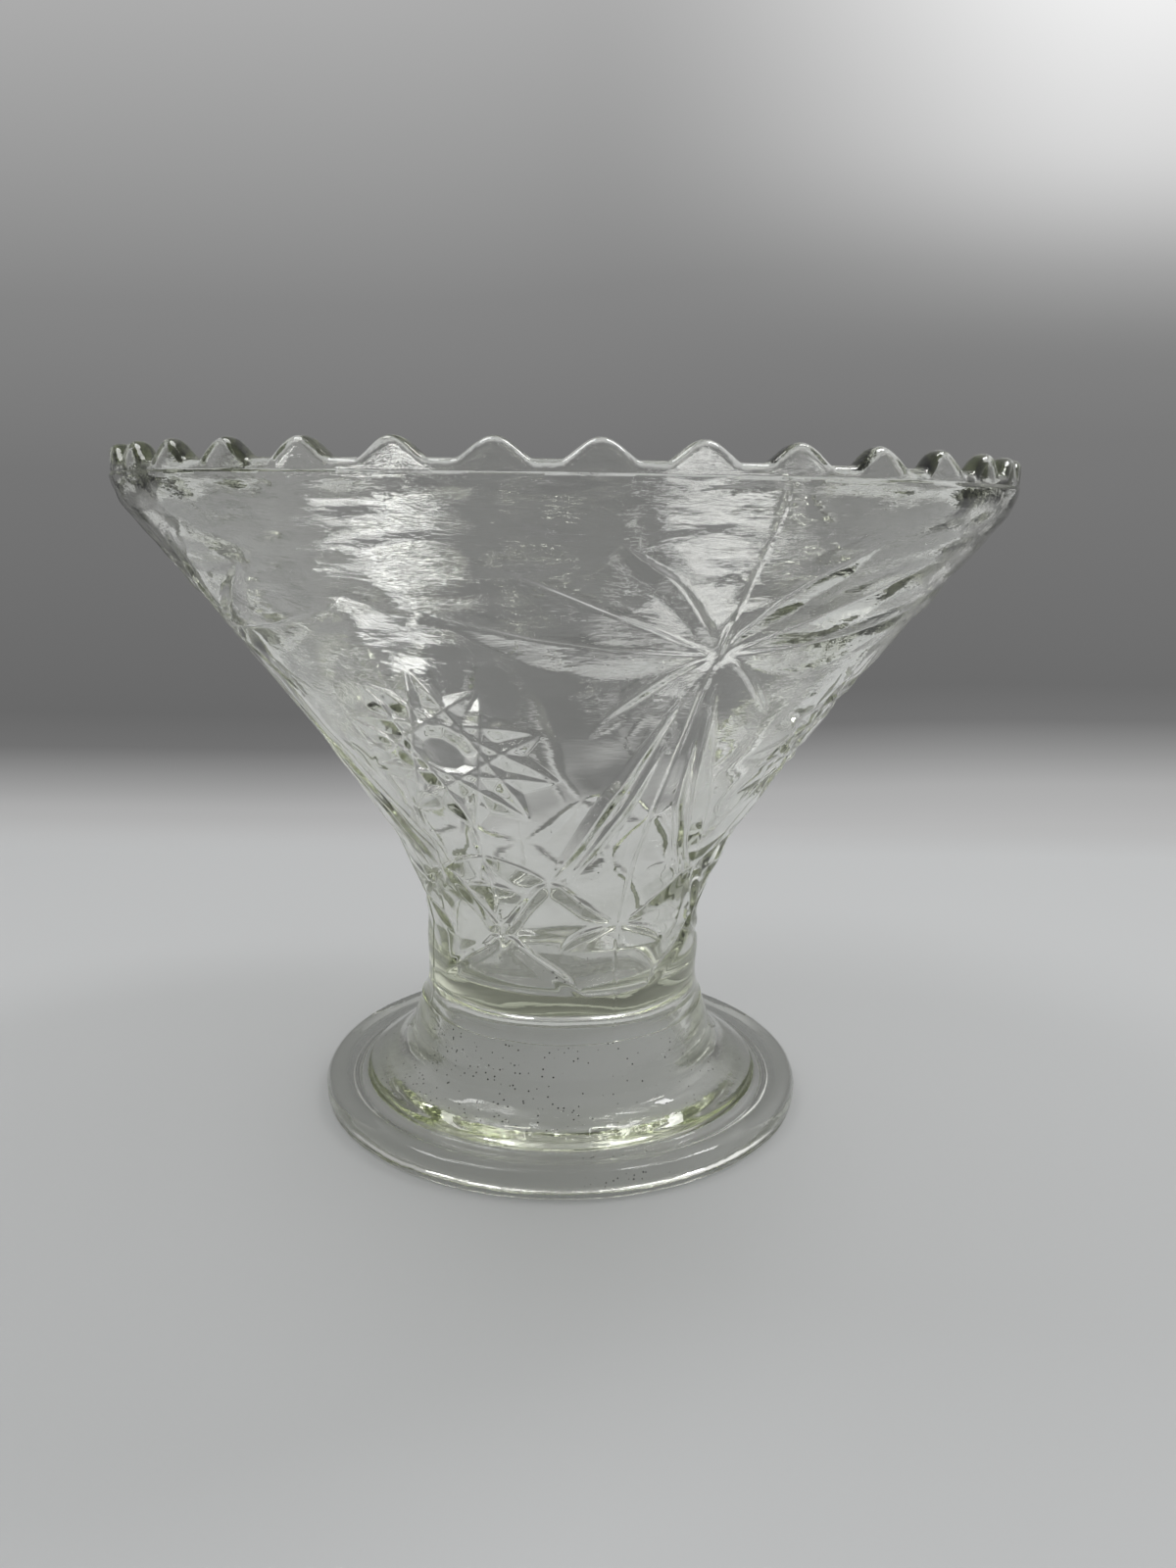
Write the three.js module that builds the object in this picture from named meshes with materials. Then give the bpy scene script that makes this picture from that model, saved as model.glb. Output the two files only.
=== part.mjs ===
// Pressed clear-glass pedestal bowl: a deep flared bowl with a scalloped lip on a short
// waisted stem, standing on a hollow domed foot with a flat flange. Sizes are in millimetres,
// +Z is up, and the origin is the middle of the ring that the foot stands on.
//
// The glass has two moulded sections. They meet on a flat ring at the seam below the waist:
//   bowl           wall, lip, floor and waist, down to the seam
//   pedestal_foot  stem skirt, dome and flange, up to the seam

import * as THREE from 'three';

// Lip
const lipRadius = 100;            // outside radius at the band line under the scallops
const bandHeight = 149.6;         // height of the band line
const valleyRise = 2.4;           // lip height over the band line in a valley
const scallopRise = 3.4;          // crest height over a valley
const scallopCount = 37;
const crestAngle = 2.6;           // angle of the front crest, in degrees
const valleyCut = 0.2;            // how much of each wave is cut away into a flat valley
const lipThickness = 4.6;
const lipRound = 1.7;             // radius of the lip's rounded edges

// Flank of the bowl
const flankWall = 5.2;            // glass thickness of the flank, measured level
const waistRadius = 33.7;
const waistTop = 46.4;            // height where the flank starts to open out
const waistBottom = 31;           // height where the waist starts to flare to the seam

// Inside floor and the web of glass under it
const floorHeight = 32.4;         // height of the inside floor
const floorRadius = 20;           // flat part of the floor
const webThickness = 3.4;         // glass between the floor and the hollow of the foot
const waistWall = 5.6;            // glass thickness round the floor
const webCorner = 3;              // radius of the corner under the web

// Seam ring where the two sections meet
const seamHeight = 24.6;
const seamRadius = 35.2;
const seamWall = 5.6;             // width of the ring

// Foot
const footRadius = 59.6;
const flangeHeight = 6.9;         // height that the flange's rounded edge turns in from
const edgeHeight = 3.1;           // height of the widest line of the rounded edge
const contactInner = 54;          // the ring that the foot stands on
const contactOuter = 58.4;
const rimRadius = 55.2;           // inner line of the flange's rounded edge
const rimHeight = 6.3;
const channelRadius = 49.8;       // corner that the channel round the dome is curved from
const channelHeight = 3.9;
const domeRadius = 48.6;          // sharp lower edge of the dome
const domeEdge = 7.6;
const shoulderRadius = 44.4;      // where the dome's slope meets the sweep up to the skirt
const shoulderHeight = 9.9;
const sweepRadius = 39.6;         // corner that the sweep is curved from
const sweepHeight = 11.4;
const skirtRadius = 37.6;         // stem skirt at the top of the sweep
const skirtHeight = 17;
const skirtSwell = 0.3;           // how far the skirt swells out on its way up to the seam
const hollowWidening = 2.6;       // how much wider the hollow is low in the skirt
const hollowTurn = 14.6;          // height where the hollow turns out under the dome
const domeWall = 5.7;             // glass thickness of the dome at its shoulder, measured upright
const hollowMouth = 52.4;         // inside radius just over the standing ring
const mouthRoof = 2.8;            // height that the hollow turns down to its mouth from
const mouthHeight = 1.2;

// Faceting
const bodySegments = 2 * scallopCount;
const lipSegments = 4 * bodySegments;
const cornerSteps = 3;            // facets on a rounded corner or a curve of a profile
const flankSteps = 240;           // steps along the flank's curve, to look a radius up

// The outside of the flank as shares of its height and of its radius growth.
const flankShape = [
  [0, 0],
  [0.072, 0.026],
  [0.159, 0.081],
  [0.246, 0.152],
  [0.363, 0.275],
  [0.478, 0.403],
  [0.594, 0.535],
  [0.71, 0.677],
  [0.811, 0.802],
  [0.884, 0.894],
  [0.942, 0.966],
  [0.972, 0.991],
  [1, 1],
];

const degrees = Math.PI / 180;

const flankCurve = new THREE.SplineCurve(
  flankShape.map(([up, out]) => new THREE.Vector2(
    waistRadius + out * (lipRadius - waistRadius),
    waistTop + up * (bandHeight - waistTop),
  )),
);

// Outside radius of the flank at a height, found by walking along the curve.
const flankSamples = flankCurve.getPoints(flankSteps);

function flankRadius(height) {
  if (height <= waistTop) {
    return waistRadius;
  }
  for (let i = 1; i < flankSamples.length; i += 1) {
    const low = flankSamples[i - 1];
    const high = flankSamples[i];
    if (height <= high.y) {
      const share = (height - low.y) / (high.y - low.y);
      return low.x + share * (high.x - low.x);
    }
  }
  return lipRadius;
}

// Height of the lip's top at an angle in radians: wide round crests, flat valleys.
function lipTop(angle) {
  const turn = scallopCount * (angle - crestAngle * degrees);
  const wave = 0.5 + 0.5 * Math.cos(turn);
  const crest = Math.max(wave - valleyCut, 0) / (1 - valleyCut);
  return bandHeight + valleyRise + scallopRise * crest;
}

// A closed skin made of level rings of points. Angle 0 faces -Y and +90 degrees faces +X.
class RingSkin {
  constructor() {
    this.points = [];
    this.faces = [];
    this.last = null;
  }

  addPoint(x, y, z) {
    this.points.push(x, y, z);
    return this.points.length / 3 - 1;
  }

  // Start or finish on the axis with one point.
  pole(height) {
    const tip = this.addPoint(0, 0, height);
    if (this.last) {
      const ring = this.last;
      for (let i = 0; i < ring.length; i += 1) {
        this.faces.push(ring[i], ring[(i + 1) % ring.length], tip);
      }
    }
    this.last = [tip];
  }

  // Add a ring. height is a number or a function of the angle.
  ring(count, radius, height) {
    const ring = [];
    for (let i = 0; i < count; i += 1) {
      const angle = crestAngle * degrees + (2 * Math.PI * i) / count;
      const z = typeof height === 'function' ? height(angle) : height;
      ring.push(this.addPoint(radius * Math.sin(angle), -radius * Math.cos(angle), z));
    }
    if (this.last) {
      this.stitch(this.last, ring);
    }
    this.last = ring;
  }

  stitch(lower, upper) {
    if (lower.length === 1) {
      for (let i = 0; i < upper.length; i += 1) {
        this.faces.push(lower[0], upper[(i + 1) % upper.length], upper[i]);
      }
      return;
    }
    const coarse = Math.min(lower.length, upper.length);
    const stepLow = lower.length / coarse;
    const stepUp = upper.length / coarse;
    for (let i = 0; i < coarse; i += 1) {
      const l = (k) => lower[(i * stepLow + k) % lower.length];
      const u = (k) => upper[(i * stepUp + k) % upper.length];
      const splitLow = Math.ceil(stepLow / 2);
      const splitUp = Math.ceil(stepUp / 2);
      for (let k = 0; k < splitLow; k += 1) {
        this.faces.push(l(k), l(k + 1), u(0));
      }
      for (let k = 0; k < splitUp; k += 1) {
        this.faces.push(l(splitLow), u(k + 1), u(k));
      }
      for (let k = splitLow; k < stepLow; k += 1) {
        this.faces.push(l(k), l(k + 1), u(splitUp));
      }
      for (let k = splitUp; k < stepUp; k += 1) {
        this.faces.push(l(stepLow), u(k + 1), u(k));
      }
    }
  }

  geometry() {
    const geometry = new THREE.BufferGeometry();
    geometry.setAttribute('position', new THREE.Float32BufferAttribute(this.points, 3));
    geometry.setIndex(this.faces);
    return geometry;
  }
}

// The hollow of the foot runs on into the bowl section as far as the web.
const hollowRadius = seamRadius - seamWall;
const webUnderside = floorHeight - webThickness;

// Shares of a radius, across and up, round a quarter circle that starts upright.
function quarter(steps) {
  const shares = [];
  for (let i = 0; i <= steps; i += 1) {
    const turn = (i / steps) * (Math.PI / 2);
    shares.push([1 - Math.cos(turn), Math.sin(turn)]);
  }
  return shares;
}

function bowlSkin() {
  const skin = new RingSkin();

  // Underside of the web, then down the hollow to the seam.
  skin.pole(webUnderside);
  for (const [across, up] of quarter(cornerSteps).reverse()) {
    skin.ring(bodySegments, hollowRadius - across * webCorner, webUnderside - (1 - up) * webCorner);
  }
  skin.ring(bodySegments, hollowRadius, seamHeight);

  // Seam ring, flare and waist.
  skin.ring(bodySegments, seamRadius, seamHeight);
  for (let i = 1; i <= cornerSteps; i += 1) {
    const up = i / cornerSteps;
    const flare = (1 - up) ** 3 * (seamRadius - waistRadius);
    skin.ring(bodySegments, waistRadius + flare, seamHeight + up * (waistBottom - seamHeight));
  }

  // Flank, from the waist to the band line.
  const flankHeights = flankShape.map(([up]) => waistTop + up * (bandHeight - waistTop));
  for (const height of flankHeights) {
    const count = height > flankHeights[flankHeights.length - 2] ? lipSegments : bodySegments;
    skin.ring(count, flankRadius(height), height);
  }

  // Scalloped lip, over the top and down the inside.
  const lipInner = lipRadius - lipThickness;
  const lipEdge = quarter(cornerSteps - 1);
  for (const [across, up] of lipEdge) {
    skin.ring(lipSegments, lipRadius - across * lipRound, (a) => lipTop(a) - (1 - up) * lipRound);
  }
  for (const [across, up] of lipEdge.reverse()) {
    skin.ring(lipSegments, lipInner + across * lipRound, (a) => lipTop(a) - (1 - up) * lipRound);
  }
  skin.ring(lipSegments, lipInner, bandHeight);

  // Inside of the flank, down to the floor.
  const insideHeights = flankHeights.slice(1, -2).reverse();
  for (const height of insideHeights) {
    skin.ring(bodySegments, flankRadius(height) - flankWall, height);
  }
  const floorEdge = waistRadius - waistWall;
  const corner = floorEdge - floorRadius;
  for (const [across, up] of quarter(cornerSteps)) {
    skin.ring(bodySegments, floorEdge - across * corner, floorHeight + (1 - up) * corner);
  }
  skin.pole(floorHeight);
  return skin.geometry();
}

// Cross-section of the foot as radius and height, closed on itself.
function footProfile() {
  const path = new THREE.Path();

  // The standing ring, the flange's rounded edge and the channel round the dome.
  path.moveTo(contactInner, 0);
  path.lineTo(contactOuter, 0);
  path.quadraticCurveTo(footRadius, 0, footRadius, edgeHeight);
  path.quadraticCurveTo(footRadius, flangeHeight, rimRadius, rimHeight);
  path.quadraticCurveTo(channelRadius, channelHeight, domeRadius, domeEdge);

  // The dome's slope, the sweep and the stem skirt up to the seam.
  path.lineTo(shoulderRadius, shoulderHeight);
  path.quadraticCurveTo(sweepRadius, sweepHeight, skirtRadius, skirtHeight);
  path.quadraticCurveTo(
    (skirtRadius + seamRadius) / 2 + skirtSwell,
    (skirtHeight + seamHeight) / 2,
    seamRadius,
    seamHeight,
  );

  // Across the seam ring, down the hollow and out under the dome.
  path.lineTo(hollowRadius, seamHeight);
  const hollowFoot = hollowRadius + hollowWidening;
  path.lineTo(hollowFoot, hollowTurn);
  const roof = shoulderHeight - domeWall;
  path.quadraticCurveTo(hollowFoot, roof, shoulderRadius, roof);
  path.quadraticCurveTo(hollowMouth, mouthRoof, hollowMouth, mouthHeight);
  path.lineTo(contactInner, 0);
  return path.getPoints(cornerSteps);
}

function footGeometry() {
  const geometry = new THREE.LatheGeometry(footProfile(), bodySegments);
  // LatheGeometry turns about Y: stand it up, and line its facets up with the bowl's.
  geometry.rotateX(Math.PI / 2);
  geometry.rotateZ(crestAngle * degrees);
  return geometry;
}

const glass = new THREE.MeshStandardMaterial({
  color: 0xdfe6e4,
  roughness: 0.05,
  metalness: 0,
  transparent: true,
  opacity: 0.35,
});

function mesh(name, geometry) {
  const piece = new THREE.Mesh(geometry, glass.clone());
  piece.name = name;
  return piece;
}

const pedestalBowl = new THREE.Group();
pedestalBowl.add(mesh('bowl', bowlSkin()));
pedestalBowl.add(mesh('pedestal_foot', footGeometry()));

export default pedestalBowl;
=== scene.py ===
"""Looks of the pressed clear-glass pedestal bowl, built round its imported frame.

The two sections of glass hold their sizes in millimetres, and a mesh becomes metres when it is made. The
finishes and the studio are in metres. An angle of 0 degrees faces -Y, towards the camera, and +90 degrees
faces +X. The pressed ornament repeats four times round the bowl, so it is worked out for one quarter and
laid down four times.
"""

import logging
import math
from collections.abc import Sequence
from dataclasses import dataclass
from enum import Enum
from typing import Any

import bpy
import numpy as np
from mathutils import Matrix, Vector


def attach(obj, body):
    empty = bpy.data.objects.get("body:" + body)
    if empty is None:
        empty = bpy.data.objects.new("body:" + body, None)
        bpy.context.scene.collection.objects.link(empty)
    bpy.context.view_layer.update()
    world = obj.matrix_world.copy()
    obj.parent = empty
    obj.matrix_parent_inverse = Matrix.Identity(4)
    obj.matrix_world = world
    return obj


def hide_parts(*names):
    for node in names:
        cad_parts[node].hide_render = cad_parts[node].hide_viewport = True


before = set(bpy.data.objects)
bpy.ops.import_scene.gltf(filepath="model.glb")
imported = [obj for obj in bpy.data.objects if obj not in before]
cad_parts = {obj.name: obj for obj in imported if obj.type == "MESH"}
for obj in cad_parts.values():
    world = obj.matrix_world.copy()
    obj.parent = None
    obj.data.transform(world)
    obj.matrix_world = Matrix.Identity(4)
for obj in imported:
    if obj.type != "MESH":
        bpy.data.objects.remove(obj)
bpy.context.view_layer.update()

MM = 0.001
BODY = "root"
SEAM_MARK = "seam_face"
GRIME_MARK = "grime"
SHARP_DEGREES = 50
QUARTERS = 4
QUARTER_TURN = 90.0
LEAF_FULLNESS = 0.8

Array = np.ndarray
Point = tuple[float, float]
Pair = tuple[float, float]
Place = tuple[float, float, float]
Colour = tuple[float, float, float, float]
log = logging.getLogger("pedestal_bowl")


def curve_through(points: Sequence[Point], steps: int) -> Array:
    """A smooth curve through points in the plane.

    Args:
        points: The points that the curve passes through, in order.
        steps: How many short pieces each stretch between two points is cut into.

    Returns:
        An array of the curve's points, one to a row.
    """
    knots = np.array(points, float)
    ends = np.vstack([knots[:1], knots, knots[-1:]])
    share = np.linspace(0, 1, steps, endpoint=False)[:, None]
    pieces = []
    for before, start, stop, after in zip(ends, ends[1:], ends[2:], ends[3:], strict=False):
        leave = (stop - before) / 2
        arrive = (after - start) / 2
        cubic = 2 * start - 2 * stop + leave + arrive
        square = -3 * start + 3 * stop - 2 * leave - arrive
        pieces.append(cubic * share**3 + square * share**2 + leave * share + start)
    return np.vstack([*pieces, knots[-1:]])


def bend(start: Point, corner: Point, stop: Point, steps: int) -> Array:
    """A round corner between two points, without its last point.

    Args:
        start: Where the corner begins.
        corner: The sharp corner that the bend cuts off.
        stop: Where the corner ends.
        steps: How many short pieces it is cut into.

    Returns:
        An array of points, one to a row.
    """
    share = np.linspace(0, 1, steps, endpoint=False)[:, None]
    first, middle, last = (np.array(point, float) for point in (start, corner, stop))
    return first * (1 - share) ** 2 + middle * 2 * share * (1 - share) + last * share**2


def length_along(line: Array) -> Array:
    """Length along a line up to each of its points."""
    return np.concatenate([[0], np.cumsum(np.hypot(*np.diff(line, axis=0).T))])


def evenly(line: Array, step: float) -> Array:
    """The same line, cut again into pieces of about one length.

    Args:
        line: The line's points, one to a row.
        step: The length that each new piece comes close to.

    Returns:
        The new points, one to a row.
    """
    run = length_along(line)
    marks = np.linspace(0, run[-1], max(2, round(run[-1] / step) + 1))
    return np.stack([np.interp(marks, run, line[:, 0]), np.interp(marks, run, line[:, 1])], axis=1)


def outward(line: Array) -> Array:
    """Unit normals of a section line.

    Args:
        line: The line's points, as radius and height.

    Returns:
        A normal for each point, on the right-hand side of the line's direction.
    """
    along = np.gradient(line, axis=0)
    normal = np.stack([along[:, 1], -along[:, 0]], axis=1)
    return normal / np.linalg.norm(normal, axis=1, keepdims=True)


class RingSkin:
    """A closed skin made of level rings of points, each as an array of places and of marks."""

    def __init__(self, first_angle: float) -> None:
        """Start an empty skin.

        Args:
            first_angle: Where each ring begins, in degrees.
        """
        self.first_angle = math.radians(first_angle)
        self.places: list[Array] = []
        self.grime: list[Array] = []
        self.rows: list[Array] = []
        self.seam_rows: set[int] = set()
        self.count = 0

    def angles(self, columns: int) -> Array:
        """The angle of each point of a ring, in radians."""
        return self.first_angle + 2 * np.pi * np.arange(columns) / columns

    def add(self, columns: int, radius: Array, height: Array, grime: Array | float = 0.0) -> None:
        """Add rings.

        Args:
            columns: How many points each ring has.
            radius: Radii, as an array with one row for each ring and one column, or one for each point.
            height: Heights, in the same form.
            grime: How many dark specks the glass has there, from 0 to 1.
        """
        angle = self.angles(columns)[None, :]
        shape = (len(radius), columns)
        wide = np.broadcast_to(radius, shape)
        tall = np.broadcast_to(height, shape)
        places = np.stack([wide * np.sin(angle), -wide * np.cos(angle), tall], axis=-1)
        self.places.append(places.reshape(-1, 3))
        self.grime.append(np.broadcast_to(grime, shape).reshape(-1))
        for row in range(shape[0]):
            first = self.count + row * columns
            self.rows.append(np.arange(first, first + columns))
        self.count += shape[0] * columns

    def line(self, columns: int, section: Array) -> None:
        """Add a ring for each point of a section line."""
        self.add(columns, section[:, :1], section[:, 1:])

    def pole(self, height: float) -> None:
        """Start or finish on the axis with one point.

        Args:
            height: The point's height.
        """
        self.places.append(np.array([[0.0, 0.0, height]]))
        self.grime.append(np.zeros(1))
        self.rows.append(np.array([self.count]))
        self.count += 1

    def mark_seam(self) -> None:
        """Say that the next band of faces lies on the seam between the two sections of glass."""
        self.seam_rows.add(len(self.rows) - 1)

    def close(self) -> None:
        """Join the last ring to the first."""
        self.rows.append(self.rows[0])

    def ripple(self, *swells: "Swell") -> None:
        """Push every point out or in along its radius.

        Args:
            swells: The waves that are added up.
        """
        for places in self.places:
            away = np.hypot(places[:, 0], places[:, 1])
            scale = 1 + sum(swell.at(places) for swell in swells) / np.maximum(away, 1.0)
            places[:, :2] *= scale[:, None]

    @staticmethod
    def band(lower: Array, upper: Array) -> Array:
        """Faces between two rings.

        Args:
            lower: Point numbers of the first ring.
            upper: Point numbers of the ring that follows it.

        Returns:
            The faces, one to a row, each as the point numbers of its corners.
        """
        flip = len(lower) > len(upper)
        coarse, fine = (upper, lower) if flip else (lower, upper)
        ratio = len(fine) // len(coarse)
        after = np.roll(coarse, -1)
        if len(coarse) == 1:
            corners = [np.full(len(fine), coarse[0]), np.roll(fine, -1), fine]
        else:
            sides = [np.roll(fine, -k)[::ratio] for k in range(ratio, -1, -1)]
            corners = [coarse, after, *sides]
        faces = np.stack(corners, axis=1)
        return faces[:, ::-1] if flip else faces

    def build(self, name: str) -> bpy.types.Object:
        """Make the skin into an object.

        Args:
            name: The object's name.

        Returns:
            The object, with smooth faces that point outwards and the marks as mesh attributes.
        """
        loops: list[Array] = []
        sizes: list[Array] = []
        seam: list[Array] = []
        for index, (lower, upper) in enumerate(zip(self.rows, self.rows[1:], strict=False)):
            faces = self.band(lower, upper)
            loops.append(faces.reshape(-1))
            sizes.append(np.full(len(faces), faces.shape[1]))
            seam.append(np.full(len(faces), float(index in self.seam_rows)))
        places = np.vstack(self.places) * MM
        corners = np.concatenate(loops)
        counts = np.concatenate(sizes)
        starts = np.concatenate([[0], np.cumsum(counts)[:-1]])

        mesh = bpy.data.meshes.new(name)
        mesh.vertices.add(len(places))
        mesh.vertices.foreach_set("co", places.astype(np.float32).reshape(-1))
        mesh.loops.add(len(corners))
        mesh.loops.foreach_set("vertex_index", corners.astype(np.int32))
        mesh.polygons.add(len(counts))
        mesh.polygons.foreach_set("loop_start", starts.astype(np.int32))
        mesh.update(calc_edges=True)
        mesh.attributes.new(SEAM_MARK, "FLOAT", "FACE").data.foreach_set(
            "value", np.concatenate(seam).astype(np.float32)
        )
        mesh.attributes.new(GRIME_MARK, "FLOAT", "POINT").data.foreach_set(
            "value", np.concatenate(self.grime).astype(np.float32)
        )
        mesh.validate()
        mesh.shade_smooth()
        mesh.set_sharp_from_angle(angle=math.radians(SHARP_DEGREES))
        piece = bpy.data.objects.new(name, mesh)
        bpy.context.scene.collection.objects.link(piece)
        return piece


@dataclass(frozen=True)
class Swell:
    """The gentle waves that a pressed surface keeps: a sum of plane waves in seeded directions."""

    height: float
    length: float
    seed: int
    level_stretch: float = 1.0
    fade_in: Pair | None = None
    waves: int = 24
    spread: float = 0.45

    def at(self, places: Array) -> Array:
        """How far the surface stands out.

        Args:
            places: Points in millimetres, one to a row.

        Returns:
            A distance in millimetres for each point.
        """
        random = np.random.default_rng(self.seed)
        total = np.zeros(len(places))
        for _ in range(self.waves):
            direction = random.normal(size=3)
            direction /= np.linalg.norm(direction)
            direction[:2] /= self.level_stretch
            length = self.length * math.exp(random.uniform(-self.spread, self.spread))
            phase = random.uniform(0, 2 * math.pi)
            total += np.cos(places @ direction * (2 * math.pi / length) + phase)
        total *= self.height / math.sqrt(self.waves)
        if self.fade_in:
            low, high = self.fade_in
            total *= np.clip((places[:, 2] - low) / (high - low), 0, 1)
        return total


class Taper(Enum):
    """How a cut's width and depth change along it."""

    LEAF = "leaf"
    BAR = "bar"


@dataclass(frozen=True)
class Cut:
    """One mitred cut: a groove whose two sides slope down to a spine.

    The path has points of degrees and height. Left and right are half widths on either side of the way the
    path runs, seen from outside. A leaf is pointed at both ends and fullest where belly says, and a bar
    keeps its width except for its run-in and run-out.
    """

    path: tuple[Point, ...]
    left: float
    right: float
    depth: float
    taper: Taper = Taper.LEAF
    belly: float = 0.5
    run_in: float = 6.0
    run_out: float = 6.0

    def mirrored(self, about: float) -> "Cut":
        """The same cut on the other side of an upright axis, in degrees."""
        path = tuple((2 * about - angle, height) for angle, height in self.path)
        return Cut(path, self.right, self.left, self.depth, self.taper, self.belly, self.run_in, self.run_out)

    def share(self, along: Array, length: float) -> Array:
        """Share of the full width and depth along a cut.

        Args:
            along: Distances from the cut's start.
            length: The cut's whole length.

        Returns:
            A share from 0 to 1 for each distance.
        """
        if self.taper is Taper.BAR:
            return np.clip(np.minimum(along / self.run_in, (length - along) / self.run_out), 0, 1)
        bent = np.clip(along / length, 0, 1) ** (math.log(0.5) / math.log(self.belly))
        return np.sin(np.pi * bent) ** LEAF_FULLNESS


@dataclass(frozen=True)
class Ornament:
    """The pressed ornament of one quarter of the bowl: a spray of leaves, a star and a lattice.

    Angles are in degrees, and the two shifts are counted from the star's angle. The paths of the cuts were
    chosen one by one.
    """

    spray_angle: float = 20.5
    spray_height: float = 118.8
    star_angle: float = -23.6
    star_height: float = 96.7
    star_radius: float = 23.2
    star_points: int = 10
    star_skip: int = 4
    star_width: float = 2.9
    star_depth: float = 0.92
    star_run: float = 7.6
    star_steps: int = 7
    peak_shift: float = -0.5
    lattice_shift: float = -0.3

    def spray(self) -> list[Cut]:
        """Leaves that fan out from one knot.

        Returns:
            The cuts, the same on both sides of the mould seam.
        """
        knot = (self.spray_angle, self.spray_height)
        low_leaf = Cut(
            ((-19, 126.6), (-10, 123.2), (-5, 121.3), (0, 120.2), (5, 119.2), (10, 118.9), (19, 118.8)),
            left=1.1, right=6.4, depth=1.5, belly=0.6,
        )
        high_leaf = Cut(
            ((-7.2, 133.7), (-5, 132.5), (0, 129), (5, 125.8), (10, 123.4), (15, 120.8), (19.3, 119.3)),
            left=1.2, right=5.4, depth=1.4, belly=0.5,
        )
        blade = Cut(
            ((4.5, 139.5), (8, 135.6), (11.2, 132.4), (14, 129), (16.3, 125.6), (18.6, 122.4), (20, 119.6)),
            left=1.4, right=3.4, depth=1.1, belly=0.5,
        )
        low_blade = Cut(
            ((5, 104.8), (8.5, 108.3), (10.7, 110.6), (13.2, 113.2), (16, 115.8), (19.6, 118.6)),
            left=1.5, right=0.7, depth=0.8, belly=0.5,
        )
        stem = Cut(
            ((20, 118), (17.8, 110), (15.6, 101), (13, 92), (9.5, 84), (5, 75.5), (0, 69.5), (-5, 65)),
            left=1.0, right=3.6, depth=1.1, belly=0.68,
        )
        thin_stem = Cut(
            ((18.5, 104), (16.5, 93), (14.3, 84.5), (11.5, 79), (8, 73.5), (4, 68.5), (0.3, 63.8)),
            left=0.9, right=1.6, depth=0.6, belly=0.6,
        )
        one_side = [low_leaf, high_leaf, blade, low_blade, stem, thin_stem]
        ridge = Cut(((20.4, 126.3), (20.6, 122), knot, (20.7, 116.5)), left=0.8, right=0.8, depth=0.9)
        return one_side + [cut.mirrored(self.spray_angle) for cut in one_side] + [ridge]

    def star(self, flank: "Flank") -> list[Cut]:
        """A ten-pointed star of straight grooves, each from one tip to the fourth tip on.

        Args:
            flank: The wall that the star lies on.

        Returns:
            One cut for each groove.
        """
        cuts = []
        middle = flank.slant(self.star_height)
        for tip in range(self.star_points):
            ends = []
            for number in (tip, tip + self.star_skip):
                turn = math.pi / 2 + 2 * math.pi * number / self.star_points
                ends.append(np.array([math.cos(turn), math.sin(turn)]) * self.star_radius)
            path = []
            for share in np.linspace(0, 1, self.star_steps):
                across, up = ends[0] + share * (ends[1] - ends[0])
                height = flank.height_at_slant(middle + up)
                radius = flank.radius(height)
                path.append((self.star_angle + math.degrees(across / radius), float(height)))
            cuts.append(
                Cut(
                    tuple(path), left=self.star_width, right=self.star_width, depth=self.star_depth,
                    taper=Taper.BAR, run_in=self.star_run, run_out=self.star_run,
                )
            )
        return cuts

    def lattice(self) -> list[Cut]:
        """Crossing grooves round the waist, between the stars and the foot.

        Returns:
            The cuts of one quarter.
        """
        peak = (self.star_angle + self.peak_shift, 70.8)
        shoulder = (-5.0, 65.0)
        crossing = (-23.0, 50.0)
        peak_leaf = Cut((peak, (-15, 68), shoulder), left=1.2, right=4.6, depth=1.3, belly=0.5)
        low_run = Cut(
            (shoulder, (5, 59.2), (12, 56), (20.3, 53.2)), left=1.6, right=2.6, depth=1.1,
            taper=Taper.BAR, run_in=3, run_out=9,
        )
        diagonal = Cut(
            (shoulder, (-14, 57.2), crossing), left=1.8, right=1.8, depth=1.1,
            taper=Taper.BAR, run_in=3, run_out=2,
        )
        low_diagonal = Cut(
            (crossing, (-16, 46), (-5, 41.8), (5, 37.5), (9, 36)), left=1.6, right=2.0, depth=1.0,
            taper=Taper.BAR, run_in=2, run_out=5,
        )
        leaf = Cut(
            ((-1.5, 46.7), (4, 49.6), (9, 51), (14, 52), (20, 53.2)),
            left=1.6, right=1.2, depth=0.8, belly=0.45,
        )
        cuts = [peak_leaf, low_run, leaf, diagonal, low_diagonal]
        for cut in (peak_leaf, diagonal, low_diagonal):
            cuts.append(cut.mirrored(self.star_angle + self.lattice_shift))
        for cut in (low_run, leaf):
            cuts.append(cut.mirrored(self.spray_angle))
        for path, half_width, depth in (
            (((-25, 70.5), (-25.3, 62), (-25.7, 54.5)), 2.0, 0.9),
            (((-34.5, 61.8), (-25, 61.9), (-15.5, 61.8)), 2.0, 0.9),
            (((-24.3, 79), (-24.6, 75), (-25, 70.6)), 0.8, 0.5),
            (((20.5, 54), (20.8, 49), (21, 44)), 0.8, 0.6),
        ):
            cuts.append(Cut(path, left=half_width, right=half_width, depth=depth))
        return cuts

    def cuts(self, flank: "Flank") -> list[Cut]:
        """Every cut of one quarter."""
        return self.spray() + self.star(flank) + self.lattice()


@dataclass(frozen=True)
class SeamRing:
    """The ring where the two sections of glass meet.

    Wall is the thickness of the glass there, and gap is what the two pieces leave between them. Both start
    their rings of points at the angle of a mould seam.
    """

    radius: float = 35.2
    height: float = 24.6
    wall: float = 5.6
    gap: float = 0.02
    angle: float = 20.5


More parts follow.
